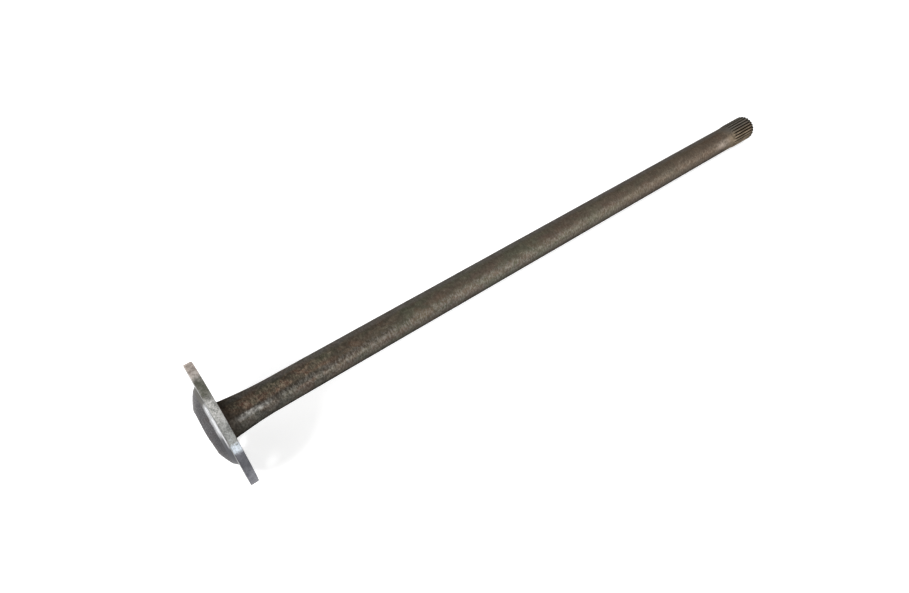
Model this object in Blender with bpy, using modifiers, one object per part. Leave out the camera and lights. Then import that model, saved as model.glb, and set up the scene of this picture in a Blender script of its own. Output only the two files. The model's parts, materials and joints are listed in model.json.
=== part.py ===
"""Full-floating axle drive shaft, forged in one piece with its wheel flange.

The shaft is turned about the Z axis of an empty. Z = 0 there is the flange's hub face, +Z points
outboard over the flange and its boss, and -Z runs inboard along the shaft to the splined end.
The empty lays the shaft down as it comes to rest: on the flange's rim and on the spline's end,
with the flange towards -X, the origin on the floor and the outline centred over it.
"""
import math

import bmesh
import bpy
from mathutils import Matrix

NAME = "drive_shaft"

# Flange: the bolt holes leave RIM_WALL to the rim and NUT_LAND to the machined ring
FLANGE_DIAMETER = 0.170
FLANGE_THICKNESS = 0.0105
RIM_CHAMFER = 0.001
BOLT_COUNT = 8
BOLT_HOLE = 0.016
BOLT_PHASE = math.radians(-4.7)
RIM_WALL = 0.003
NUT_LAND = 0.0105

# Boss on the flange's outer face: a machined ring under a rough forged shoulder and crown.
# The crown's edge stands CROWN_HEIGHT over the face, and its middle CROWN_RISE higher.
RING_HEIGHT = 0.0055
RING_ANGLE = math.radians(45)
SHOULDER_WIDTH = 0.018
SHOULDER_ANGLE = math.radians(22)
CROWN_HEIGHT = 0.0164
CROWN_RISE = 0.0025

# Dish pressed into the crown, and the lathe centre in it
DISH_RIM = 0.001
DISH_NARROWING = 0.004
DISH_DEPTH = 0.0030
DISH_SQUARENESS = 2.9
DISH_TURN = math.radians(12)
PUNCH_HEIGHT = 0.012
CENTRE_HOLE = 0.010
CENTRE_SINK = 0.00275
CENTRE_DEPTH = 0.016

# Shaft, with the flared root that carries the flange
SHAFT_DIAMETER = 0.043
SHAFT_REACH = 1.100
FLARE_STEP = 0.00425
FLARE_LENGTH = 0.044
FLARE_BLEND = 0.018
ROOT_FILLET = 0.004

# Splined end: involute teeth cut by a round cutter that runs out up a ramp
SPLINE_TEETH = 25
SPLINE_STEP = 0.0015
SPLINE_LENGTH = 0.048
TOOTH_DEPTH_IN_MODULES = 1.25
PRESSURE_ANGLE = math.radians(30)
RAMP_LENGTH = 0.016
CUTTER_RADIUS = 0.040
END_CHAMFER = 0.0014
END_CENTRE_HOLE = 0.005
END_CENTRE_SINK = 0.0035
END_CENTRE_DEPTH = 0.013

# Drawing fineness
SEGMENTS = 3 * SPLINE_TEETH
HOLE_SEGMENTS = 24
BEND_STEPS = 5
RUN_OUT_STEPS = 4
PUNCH_SEGMENTS = 32
OVERRUN = 0.001
TOOTH_MARGIN = 0.00025
MERGE = 0.00001
DRILL_POINT = math.radians(59)
CENTRE_CONE = math.radians(30)
SHARP_ANGLE = math.radians(28)

# Finish
STEEL_COLOUR = (0.105, 0.096, 0.082, 1.0)
STEEL_ROUGHNESS = 0.5

# Sizes that follow from those above, from the rim inwards and from the shaft outwards
FLANGE_RADIUS = FLANGE_DIAMETER / 2
BOLT_CIRCLE_RADIUS = FLANGE_RADIUS - RIM_WALL - BOLT_HOLE / 2
RING_FOOT_RADIUS = BOLT_CIRCLE_RADIUS - BOLT_HOLE / 2 - NUT_LAND
RING_TOP_RADIUS = RING_FOOT_RADIUS - RING_HEIGHT / math.tan(RING_ANGLE)
CROWN_RADIUS = RING_TOP_RADIUS - SHOULDER_WIDTH
DISH_WIDTH = 2 * (CROWN_RADIUS - DISH_RIM)
SHAFT_RADIUS = SHAFT_DIAMETER / 2
FLARE_RADIUS = SHAFT_RADIUS + FLARE_STEP
SPLINE_RADIUS = SHAFT_RADIUS + SPLINE_STEP
SPLINE_MODULE = 2 * SPLINE_RADIUS / (SPLINE_TEETH + 1)
TOOTH_DEPTH = TOOTH_DEPTH_IN_MODULES * SPLINE_MODULE
FACET_STEP = 2 * math.pi / SEGMENTS
BOTTOM = math.pi


def clear_scene():
    for item in list(bpy.data.objects):
        bpy.data.objects.remove(item, do_unlink=True)


def new_collection(name):
    collection = bpy.data.collections.new(name)
    bpy.context.scene.collection.children.link(collection)
    return collection


def crossing(point, slope_angle, other, other_angle):
    """Corner where the line falling from point meets the line that falls to other."""
    slope, other_slope = math.tan(slope_angle), math.tan(other_angle)
    across = point[1] - other[1] + slope * point[0] - other_slope * other[0]
    radius = across / (slope - other_slope)
    return radius, point[1] - slope * (radius - point[0])


def bend(start, corner, end, steps=BEND_STEPS):
    """Points of a smooth bend that leaves start and reaches end along the corner's two sides."""
    points = []
    for step in range(steps + 1):
        t = step / steps
        weights = ((1 - t) ** 2, 2 * t * (1 - t), t * t)
        points.append(tuple(sum(w * p[axis] for w, p in zip(weights, (start, corner, end)))
                            for axis in (0, 1)))
    return points


def crown_points():
    """Shallow arc over the boss, from the axis to the crown's edge."""
    arc_radius = (CROWN_RADIUS ** 2 + CROWN_RISE ** 2) / (2 * CROWN_RISE)
    top = FLANGE_THICKNESS + CROWN_HEIGHT + CROWN_RISE
    radii = [CROWN_RADIUS * step / BEND_STEPS for step in range(BEND_STEPS + 1)]
    return [(r, top - arc_radius + math.sqrt(arc_radius ** 2 - r ** 2)) for r in radii]


def boss_points():
    """Crown, forged shoulder and machined ring, down to the flange's outer face."""
    crown = crown_points()
    ring_top = (RING_TOP_RADIUS, FLANGE_THICKNESS + RING_HEIGHT)
    corner = crossing(crown[-1], SHOULDER_ANGLE, ring_top, RING_ANGLE)
    shoulder = bend(crown[-1], corner, ring_top)
    return crown + shoulder[1:] + [(RING_FOOT_RADIUS, FLANGE_THICKNESS)]


def flange_points():
    """Outer face's edge, rim with its two chamfers, and hub face's edge."""
    inner = FLANGE_RADIUS - RIM_CHAMFER
    return [(inner, FLANGE_THICKNESS), (FLANGE_RADIUS, FLANGE_THICKNESS - RIM_CHAMFER),
            (FLANGE_RADIUS, RIM_CHAMFER), (inner, 0.0)]


def root_points():
    """Fillet at the hub face and the flare that narrows to the shaft."""
    taper = FLARE_STEP / FLARE_LENGTH
    fillet = bend((FLARE_RADIUS + ROOT_FILLET, 0.0), (FLARE_RADIUS, 0.0),
                  (FLARE_RADIUS - taper * ROOT_FILLET, -ROOT_FILLET))
    blend_top = (SHAFT_RADIUS + taper * FLARE_BLEND, FLARE_BLEND - FLARE_LENGTH)
    blend = bend(blend_top, (SHAFT_RADIUS, -FLARE_LENGTH),
                 (SHAFT_RADIUS, -FLARE_LENGTH - FLARE_BLEND))
    return fillet + blend


def spline_points():
    """Ramp, spline blank and end chamfer."""
    spline_start = SPLINE_LENGTH - SHAFT_REACH
    return [(SHAFT_RADIUS, spline_start + RAMP_LENGTH), (SPLINE_RADIUS, spline_start),
            (SPLINE_RADIUS, END_CHAMFER - SHAFT_REACH),
            (SPLINE_RADIUS - END_CHAMFER, -SHAFT_REACH), (0.0, -SHAFT_REACH)]


def turned(name, profile, segments, collection):
    """Object turned about Z from a profile of (radius, z) points that runs from top to bottom."""
    mesh = bpy.data.meshes.new(name)
    points = [(radius, 0.0, z) for radius, z in profile]
    mesh.from_pydata(points, [(i, i + 1) for i in range(len(points) - 1)], [])
    item = bpy.data.objects.new(name, mesh)
    collection.objects.link(item)
    screw = item.modifiers.new("turn", "SCREW")
    screw.axis = "Z"
    screw.angle = 2 * math.pi
    screw.steps = screw.render_steps = segments
    screw.use_merge_vertices = True
    screw.merge_threshold = MERGE
    screw.use_smooth_shade = True
    return item


def mesh_object(name, bm, collection):
    mesh = bpy.data.meshes.new(name)
    bm.to_mesh(mesh)
    bm.free()
    item = bpy.data.objects.new(name, mesh)
    collection.objects.link(item)
    return item


def bolt_holes(collection):
    """Cylinders for the bolt holes, on the bolt circle and past both faces of the flange."""
    bm = bmesh.new()
    for index in range(BOLT_COUNT):
        turn = Matrix.Rotation(BOLT_PHASE + 2 * math.pi * index / BOLT_COUNT, 4, "Z")
        place = Matrix.Translation((BOLT_CIRCLE_RADIUS, 0.0, FLANGE_THICKNESS / 2))
        bmesh.ops.create_cone(bm, cap_ends=True, segments=HOLE_SEGMENTS, radius1=BOLT_HOLE / 2,
                              radius2=BOLT_HOLE / 2, depth=FLANGE_THICKNESS + 2 * OVERRUN,
                              matrix=turn @ place)
    return mesh_object("bolt_holes", bm, collection)


def dish_floor():
    """Height of the dish's lowest point over the hub face."""
    return crown_points()[-1][1] - DISH_DEPTH


def dish_punch(collection):
    """Squashed ball with a rounded-square outline, as wide as the dish where it cuts the crown."""
    share = math.sqrt(1 - (1 - DISH_DEPTH / PUNCH_HEIGHT) ** 2)
    bm = bmesh.new()
    bmesh.ops.create_uvsphere(bm, u_segments=PUNCH_SEGMENTS, v_segments=PUNCH_SEGMENTS, radius=1.0)
    for vert in bm.verts:
        angle = math.atan2(vert.co.y, vert.co.x)
        sides = abs(math.cos(angle)) ** DISH_SQUARENESS + abs(math.sin(angle)) ** DISH_SQUARENESS
        square = sides ** (-1 / DISH_SQUARENESS)
        vert.co.x *= (DISH_WIDTH - DISH_NARROWING) / 2 / share * square
        vert.co.y *= DISH_WIDTH / 2 / share * square
        vert.co.z *= PUNCH_HEIGHT
    item = mesh_object("dish_punch", bm, collection)
    item.location.z = dish_floor() + PUNCH_HEIGHT
    item.rotation_euler.z = DISH_TURN
    return item


def centre_drill(name, hole, sink, depth, collection):
    """Drill whose countersink is wider by sink at its mouth at Z = 0, with its point down."""
    radius = hole / 2
    widest = radius + sink + OVERRUN * math.tan(CENTRE_CONE)
    profile = [(0.0, OVERRUN), (widest, OVERRUN), (radius, -sink / math.tan(CENTRE_CONE)),
               (radius, -depth), (0.0, -depth - radius / math.tan(DRILL_POINT))]
    return turned(name, profile, HOLE_SEGMENTS, collection)


def space_half_angle(radius):
    """Half of the angle of one tooth space at a radius, from the involute of the tooth's flank."""
    pitch_radius = SPLINE_RADIUS * SPLINE_TEETH / (SPLINE_TEETH + 1)
    base_radius = pitch_radius * math.cos(PRESSURE_ANGLE)
    at_radius = math.acos(base_radius / radius)
    opening = (math.tan(at_radius) - at_radius) - (math.tan(PRESSURE_ANGLE) - PRESSURE_ANGLE)
    return math.pi / 2 / SPLINE_TEETH + opening


def space_section():
    """Outline of one tooth space, with X along the radius."""
    radii = [SPLINE_RADIUS - TOOTH_DEPTH, SPLINE_RADIUS - TOOTH_DEPTH / 2,
             SPLINE_RADIUS + TOOTH_MARGIN]
    flank = [(r * math.cos(space_half_angle(r)), r * math.sin(space_half_angle(r))) for r in radii]
    return flank + [(x, -y) for x, y in reversed(flank)]


def add_spline_space(bm, turn):
    """Sweeps the section from past the shaft's end to the ramp, where it rises out on an arc."""
    start = -SHAFT_REACH - OVERRUN
    verts = [bm.verts.new((x, y, start)) for x, y in space_section()]
    first = bm.faces.new(verts)
    lift_angle = math.acos(1 - (TOOTH_DEPTH + TOOTH_MARGIN) / CUTTER_RADIUS)
    path = [(0.0, SPLINE_LENGTH - SHAFT_REACH)]
    for step in range(1, RUN_OUT_STEPS + 1):
        angle = lift_angle * step / RUN_OUT_STEPS
        path.append((CUTTER_RADIUS * (1 - math.cos(angle)),
                     path[0][1] + CUTTER_RADIUS * math.sin(angle)))
    face, at = first, (0.0, start)
    for lift, z in path:
        grown = bmesh.ops.extrude_face_region(bm, geom=[face])["geom"]
        if face is not first:
            bmesh.ops.delete(bm, geom=[face], context="FACES_ONLY")
        moved = [item for item in grown if isinstance(item, bmesh.types.BMVert)]
        bmesh.ops.translate(bm, verts=moved, vec=(lift - at[0], 0.0, z - at[1]))
        verts += moved
        face = next(item for item in grown if isinstance(item, bmesh.types.BMFace))
        at = (lift, z)
    bmesh.ops.rotate(bm, verts=verts, matrix=Matrix.Rotation(turn, 3, "Z"))


def spline_spaces(collection):
    """All tooth spaces, with one of them straight down so that two teeth carry the end."""
    bm = bmesh.new()
    for index in range(SPLINE_TEETH):
        add_spline_space(bm, BOTTOM + 2 * math.pi * index / SPLINE_TEETH)
    bmesh.ops.recalc_face_normals(bm, faces=bm.faces)
    return mesh_object("spline_spaces", bm, collection)


def facet_drop(radius, angle):
    """How far a faceted rim reaches straight down at an angle from its lowest facet's middle."""
    off = (angle + FACET_STEP / 2) % FACET_STEP - FACET_STEP / 2
    return radius * math.cos(FACET_STEP / 2) / math.cos(off) * math.cos(angle)


def lay_down(axis):
    """Tips the axis until the rim and the last two teeth touch the floor, and centres the outline."""
    rim_drop = facet_drop(FLANGE_RADIUS, 0.0)
    tooth_drop = facet_drop(SPLINE_RADIUS, space_half_angle(SPLINE_RADIUS))
    span = SHAFT_REACH - END_CHAMFER + RIM_CHAMFER
    tilt = math.atan2(rim_drop - tooth_drop, span)
    height = rim_drop * math.cos(tilt) - RIM_CHAMFER * math.sin(tilt)
    rim_of_dish = [point for point in boss_points() if point[0] >= DISH_WIDTH / 2]
    back = max(z * math.cos(tilt) + facet_drop(r, 0.0) * math.sin(tilt) for r, z in rim_of_dish)
    front = SHAFT_REACH * math.cos(tilt) + (SPLINE_RADIUS - END_CHAMFER) * math.sin(tilt)
    axis.location = ((back - front) / 2, 0.0, height)
    axis.rotation_euler.y = tilt - math.pi / 2


def forged_steel():
    material = bpy.data.materials.new("forged_steel")
    material.use_nodes = True
    shader = material.node_tree.nodes["Principled BSDF"]
    shader.inputs["Base Color"].default_value = STEEL_COLOUR
    shader.inputs["Metallic"].default_value = 1.0
    shader.inputs["Roughness"].default_value = STEEL_ROUGHNESS
    material.diffuse_color = STEEL_COLOUR
    return material


def make_cutters(collection):
    """Every cutter, placed on the shaft's axis."""
    flange_centre = centre_drill("flange_centre", CENTRE_HOLE, CENTRE_SINK, CENTRE_DEPTH, collection)
    flange_centre.location.z = dish_floor()
    end_centre = centre_drill("end_centre", END_CENTRE_HOLE, END_CENTRE_SINK, END_CENTRE_DEPTH,
                              collection)
    end_centre.location.z = -SHAFT_REACH
    end_centre.rotation_euler.x = math.pi
    cutters = [dish_punch(collection), flange_centre, bolt_holes(collection),
               spline_spaces(collection), end_centre]
    for cutter in cutters:
        cutter.hide_render = True
        cutter.display_type = "WIRE"
    return cutters


def settle(item):
    """Makes the modifiers' result the object's own mesh, smooth between its sharp edges."""
    bpy.context.view_layer.update()
    evaluated = item.evaluated_get(bpy.context.evaluated_depsgraph_get())
    mesh = bpy.data.meshes.new_from_object(evaluated)
    item.modifiers.clear()
    item.data = mesh
    mesh.shade_smooth()
    mesh.set_sharp_from_angle(angle=SHARP_ANGLE)


def build():
    clear_scene()
    parts = new_collection(NAME)
    tools = new_collection("cutters")
    axis = bpy.data.objects.new("shaft_axis", None)
    parts.objects.link(axis)
    profile = boss_points() + flange_points() + root_points() + spline_points()
    shaft = turned(NAME, profile, SEGMENTS, parts)
    shaft.rotation_euler.z = BOTTOM - FACET_STEP / 2
    shaft.data.materials.append(forged_steel())
    cutters = make_cutters(tools)
    for cutter in cutters:
        cut = shaft.modifiers.new(cutter.name, "BOOLEAN")
        cut.operation = "DIFFERENCE"
        cut.solver = "EXACT"
        cut.object = cutter
    settle(shaft)
    for item in [shaft] + cutters:
        item.parent = axis
    lay_down(axis)
    bpy.context.view_layer.update()


build()
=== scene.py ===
"""Looks of a full-floating axle drive shaft, forged and turned in one piece with its flange.

The shaft is modelled about its own axis and then laid where the frame's mounts put it. In that
shaft space Z = 0 is the hub face, +Z points outboard over the flange and its boss, -Z runs to
the splined end, and +X points up as the shaft lies at rest. Lengths are metres, and angles about
the axis are counted from +X towards +Y.
"""

import json
import math

import bmesh
import bpy
import numpy as np
from mathutils import Matrix, Vector, noise


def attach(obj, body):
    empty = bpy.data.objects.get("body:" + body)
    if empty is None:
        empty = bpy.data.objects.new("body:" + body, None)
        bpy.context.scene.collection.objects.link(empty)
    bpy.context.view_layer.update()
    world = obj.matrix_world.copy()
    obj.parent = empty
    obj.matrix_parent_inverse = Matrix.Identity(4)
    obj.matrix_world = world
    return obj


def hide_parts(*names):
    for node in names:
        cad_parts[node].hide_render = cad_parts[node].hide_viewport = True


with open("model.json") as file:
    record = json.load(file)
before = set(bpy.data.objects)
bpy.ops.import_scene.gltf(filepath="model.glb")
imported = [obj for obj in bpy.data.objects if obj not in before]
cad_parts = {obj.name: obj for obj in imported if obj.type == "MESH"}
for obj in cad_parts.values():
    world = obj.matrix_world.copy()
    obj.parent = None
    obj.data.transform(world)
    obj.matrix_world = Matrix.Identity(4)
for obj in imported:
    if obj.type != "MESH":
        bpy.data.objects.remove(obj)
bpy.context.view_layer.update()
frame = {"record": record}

# Names of what the mesh keeps for its finishes: the place in shaft space, how bare the lathe has
# cut the boss, how deep in a tooth space a point lies, and how far out from the dish's middle
PLACE = "shaft_place"
BARE = "bare"
SUNK = "sunk"
DISH = "dish"

# Flange
FLANGE_RADIUS = 0.085
FLANGE_THICKNESS = 0.0105
RIM_CHAMFER = 0.001
BOLT_COUNT = 8
BOLT_HOLE = 0.016
BOLT_CIRCLE_RADIUS = 0.074
BOLT_PHASE = math.radians(-4.7)
BOLT_EDGE_BREAK = 0.0005

# Boss: a forged crown and shoulder, cut below by a turned ring with a fine step at its foot
CROWN_HEIGHT = 0.0202
CROWN_CURVE_ALONG = 3.1
CROWN_CURVE_ACROSS = 6.2
SHOULDER_FALL = 0.0073
CROWN_LEAN = 0.03
LEAN_TURN = math.radians(57)
SKIRT_RADIUS = 0.050
SKIRT_HEIGHT = 0.0057
SKIRT_ANGLE = math.radians(34)
SKIRT_BLEND = 0.0016
RING_FOOT_RADIUS = 0.0555
RING_ANGLE = math.radians(45)
RING_STEP = 0.0004
RING_LAND = 0.0011
BOSS_RADIUS = RING_FOOT_RADIUS + 2 * RING_LAND
FORGING_SHIFT = (-0.0004, -0.0001)

# Dish pressed into the crown, and fine raised lines left by the die: radius, angle, spread, height
DISH_LENGTH = 0.0350
DISH_WIDTH = 0.0285
DISH_TURN = math.radians(143)
DISH_DEPTH = 0.0072
DISH_SQUARENESS = 2.6
DISH_CURVE = 2.4
DISH_EDGE_BLEND = 0.2
CREASE_WIDTH = 0.0005
CREASES = ((0.0385, math.radians(222), math.radians(30), 0.00022),
           (0.0362, math.radians(-30), math.radians(26), 0.00018))

# Uneven surface of the forged boss and of the rolled shaft: height, fineness and seed
FORGED_RELIEF = ((0.00013, 70, 3.1), (0.00010, 380, 7.7), (0.00010, 800, 12.3))
ROLLED_RELIEF = ((0.00012, 45, 21.0), (0.00006, 160, 4.0))
ROLLED_STRETCH = (1.0, 1.0, 0.45)

# Dents in the outer face and nicks in its rim: distance from the axis, angle, size of the tool.
# The tool's centre stays above the face by a share of its size.
DENTS = ((0.0692, math.radians(123), 0.0013), (0.0660, math.radians(215), 0.0014),
         (0.0689, math.radians(-119), 0.0012), (0.0584, math.radians(41), 0.0010),
         (0.0615, math.radians(-2), 0.0008), (0.0757, math.radians(97), 0.0009),
         (0.0851, math.radians(20), 0.0011), (0.0850, math.radians(71), 0.0014),
         (0.0851, math.radians(158), 0.0010), (0.0850, math.radians(-71), 0.0012))
DENT_LIFT = 0.72
DENT_SPIN = 3

# Lathe centres
CENTRE_HOLE = 0.010
CENTRE_SINK = 0.00275
CENTRE_DEPTH = 0.012
END_CENTRE_HOLE = 0.005
END_CENTRE_SINK = 0.0035
END_CENTRE_DEPTH = 0.013
CENTRE_CONE = math.radians(30)
DRILL_POINT = math.radians(59)

# Shaft and its flared root
SHAFT_RADIUS = 0.0217
SHAFT_REACH = 1.100
FLARE_RADIUS = 0.0259
FLARE_LENGTH = 0.044
FLARE_BLEND = 0.018
ROOT_FILLET = 0.004

# Spline
SPLINE_TEETH = 25
SPLINE_RADIUS = 0.0231
SPLINE_LENGTH = 0.048
TOOTH_DEPTH = 0.00221
PRESSURE_ANGLE = math.radians(30)
FLANK_SHARES = (0.16, 0.4, 0.7)
CUTTER_RADIUS = 0.140
CUTTER_STEPS = 10
END_CHAMFER = 0.0014
TIP_BREAK = 0.00018
SPLINE_START = SPLINE_LENGTH - SHAFT_REACH

# Ramp from the shaft up to the spline, eased at both ends
RAMP_LENGTH = 0.016
RAMP_START = SPLINE_START + RAMP_LENGTH
RAMP_EASE = 0.003
RAMP_CORNER = 0.001
RAMP_BEND = 0.004
RAMP_RISE = 0.0003

# Where the finishes change
GREASE_RADIUS = CENTRE_HOLE / 2 + 0.0002
GREASE_TOP = FLANGE_THICKNESS + CENTRE_DEPTH - 0.004
END_CENTRE_ZONE_RADIUS = 0.010
END_CENTRE_ZONE_TOP = 0.020 - SHAFT_REACH
END_FACE_TOP = END_CHAMFER * 0.4 - SHAFT_REACH
BARE_FADE = 0.00006
LEAST_SPACE_DEPTH = 0.0001
DARK_SPACE_DEPTH = 0.0005

# Fineness of the meshes
BOSS_PITCH = 0.00062
FACE_SEGMENTS = 360
FACE_ROWS = 8
SHAFT_SEGMENTS = 120
SHAFT_PITCH = 0.004
HOLE_SEGMENTS = 64
OVERRUN = 0.001
TINY = 1e-5
SHARP_ANGLE = math.radians(34)

# Camera, as the photograph was taken
CAMERA_PLACE = (-0.5135, -0.4368, 0.7661)
CAMERA_TURN = (math.radians(37.73), 0.0, math.radians(-37.85))
CAMERA_LENS = 23.62
SENSOR_WIDTH = 36
CLIP_START = 0.01

# Light: where each one shines from, its level on a white card, its spread and its tint
LIGHTS = {
    "front_light": ((0.03, -0.97, 0.24), 0.72, math.radians(22), (0.97, 0.985, 1.0)),
    "far_light": ((0.64, -0.74, 0.20), 0.34, math.radians(32), (1.0, 0.975, 0.94)),
    "flange_light": ((-0.69, -0.24, 0.68), 0.56, math.radians(20), (1.0, 1.0, 1.0)),
    "side_light": ((-0.70, 0.67, 0.25), 0.17, math.radians(24), (1.0, 1.0, 1.0)),
}
SURROUND_LEVEL = 0.36

# Floor: its shade for the object's light, and the shade and glow that the camera sees
FLOOR_RADIUS = 9.0
FLOOR_SEGMENTS = 96
FLOOR_DROP = 0.0002
FLOOR_SHADE = 0.30
FLOOR_SEEN_SHADE = 0.95
FLOOR_GLOW = 0.44


def shaft_frame():
    """Matrix from shaft space to the world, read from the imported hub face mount."""
    mounts = {mount["name"]: mount for mount in frame["record"]["mounts"]}
    hub = mounts["hub_face"]
    outboard = -Vector(hub["axis"]).normalized()
    side = Vector((0.0, 1.0, 0.0))
    up = side.cross(outboard)
    matrix = Matrix((up, side, outboard)).transposed().to_4x4()
    matrix.translation = (hub["pos_m"][0], 0.0, hub["pos_m"][2])
    return matrix


def bend(start, corner, end, steps):
    """Points of a smooth bend that leaves start and reaches end along the corner's two sides."""
    points = []
    for step in range(steps + 1):
        t = step / steps
        weights = ((1 - t) ** 2, 2 * t * (1 - t), t * t)
        points.append(tuple(sum(w * p[axis] for w, p in zip(weights, (start, corner, end)))
                            for axis in (0, 1)))
    return points


def lesser(first, second, rounding):
    """The smaller of two heights, with the corner between them rounded."""
    near = np.clip(rounding - np.abs(first - second), 0, None) / rounding
    return np.minimum(first, second) - near ** 2 * rounding / 4


def dish_axes(x, y):
    """Distances along and across the dish, from its middle."""
    along = x * math.cos(DISH_TURN) + y * math.sin(DISH_TURN)
    across = y * math.cos(DISH_TURN) - x * math.sin(DISH_TURN)
    return along, across


def dish_outline(x, y):
    """0 at the middle of the dish and 1 along its edge."""
    along, across = dish_axes(x, y)
    return (np.abs(along / DISH_LENGTH) ** DISH_SQUARENESS
            + np.abs(across / DISH_WIDTH) ** DISH_SQUARENESS) ** (1 / DISH_SQUARENESS)


def forged_height(x, y):
    """Height over the outer face of the forged crown, its shoulder and its dish."""
    along, across = dish_axes(x, y)
    bow = CROWN_CURVE_ALONG * along ** 2 + CROWN_CURVE_ACROSS * across ** 2
    fall = np.where(bow < SHOULDER_FALL, bow, 2 * np.sqrt(SHOULDER_FALL * bow) - SHOULDER_FALL)
    radius = np.hypot(x, y)
    skirt = SKIRT_HEIGHT + (SKIRT_RADIUS - radius) * math.tan(SKIRT_ANGLE)
    height = lesser(CROWN_HEIGHT - fall, skirt, SKIRT_BLEND)
    lean = CROWN_LEAN * (x * math.cos(LEAN_TURN) + y * math.sin(LEAN_TURN))
    height += lean * np.clip(1 - (radius / SKIRT_RADIUS) ** 2, 0, 1)
    inside = 1 - dish_outline(x, y) ** DISH_CURVE
    return height - DISH_DEPTH * (inside + np.sqrt(inside ** 2 + DISH_EDGE_BLEND ** 2)) / 2


def crease_height(x, y):
    """Fine raised lines along the crown's edge, fading out at both ends."""
    radius = np.hypot(x, y)
    angle = np.arctan2(y, x)
    height = np.zeros_like(radius)
    for line_radius, middle, spread, raised in CREASES:
        off = np.abs(np.angle(np.exp(1j * (angle - middle))))
        line = np.exp(-((radius - line_radius) / CREASE_WIDTH) ** 2)
        height += raised * line * np.clip(1.5 - 1.5 * off / spread, 0, 1)
    return height


def turned_height(radius):
    """Height over the outer face of what the lathe left: ring, step at its foot and flat face."""
    cone = RING_STEP + (RING_FOOT_RADIUS - radius) * math.tan(RING_ANGLE)
    land_end = RING_FOOT_RADIUS + RING_LAND
    groove_end = land_end + RING_LAND / 2
    step = np.interp(radius, [RING_FOOT_RADIUS, land_end, (land_end + groove_end) / 2, groove_end],
                     [RING_STEP, RING_STEP * 0.6, -RING_STEP * 0.5, 0.0])
    return np.where(radius < RING_FOOT_RADIUS, cone, step)


def many_noise(points, scale, seed):
    """One value of smooth noise for each point."""
    shift = Vector((seed, -seed, 2.0 * seed))
    return np.array([noise.noise(Vector(p) * scale + shift) for p in points])


def relief(points, layers):
    """Sum of several layers of noise, each with its height, fineness and seed."""
    return sum(height * many_noise(points, fineness, seed) for height, fineness, seed in layers)


def stitch(first, first_count, second, second_count):
    """Faces between two closed rings of vertices, by walking round both at the same pace."""
    if first_count == second_count:
        turn = range(first_count)
        return [(first + i, second + i, second + (i + 1) % first_count,
                 first + (i + 1) % first_count) for i in turn]
    faces = []
    i = j = 0
    while i < first_count or j < second_count:
        here = first + i % first_count
        below = second + j % second_count
        behind = (i + 1) * second_count <= (j + 1) * first_count
        if j == second_count or (i < first_count and behind):
            faces.append((here, below, first + (i + 1) % first_count))
            i += 1
        else:
            faces.append((here, below, second + (j + 1) % second_count))
            j += 1
    return faces


def boss_rings():
    """Rings that cover the boss with triangles of an even size."""
    rings = []
    rows = round(BOSS_RADIUS / (BOSS_PITCH * math.sqrt(3) / 2))
    for index in range(1, rows + 1):
        radius = BOSS_RADIUS * index / rows
        rings.append((radius, FLANGE_THICKNESS, max(6, round(2 * math.pi * radius / BOSS_PITCH))))
    return rings


def flange_rings():
    """Outer face, rounded rim edges, rim and hub face, down to the root."""
    inner = FLANGE_RADIUS - RIM_CHAMFER
    corner = RIM_CHAMFER / 5
    root = FLARE_RADIUS + ROOT_FILLET
    rings = [(BOSS_RADIUS + (inner - BOSS_RADIUS) * step / FACE_ROWS, FLANGE_THICKNESS)
             for step in range(1, FACE_ROWS + 1)]
    outer_edge = bend((inner, FLANGE_THICKNESS), (FLANGE_RADIUS - corner, FLANGE_THICKNESS - corner),
                      (FLANGE_RADIUS, FLANGE_THICKNESS - RIM_CHAMFER), steps=3)
    rings += outer_edge[1:]
    rings += [(FLANGE_RADIUS, FLANGE_THICKNESS * share) for share in (0.7, 0.5, 0.3)]
    rings += bend((FLANGE_RADIUS, RIM_CHAMFER), (FLANGE_RADIUS - corner, corner), (inner, 0.0),
                  steps=3)
    rings += [(inner + (root - inner) * step / 10, 0.0) for step in range(1, 10)]
    return [(radius, z, FACE_SEGMENTS) for radius, z in rings]


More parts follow.
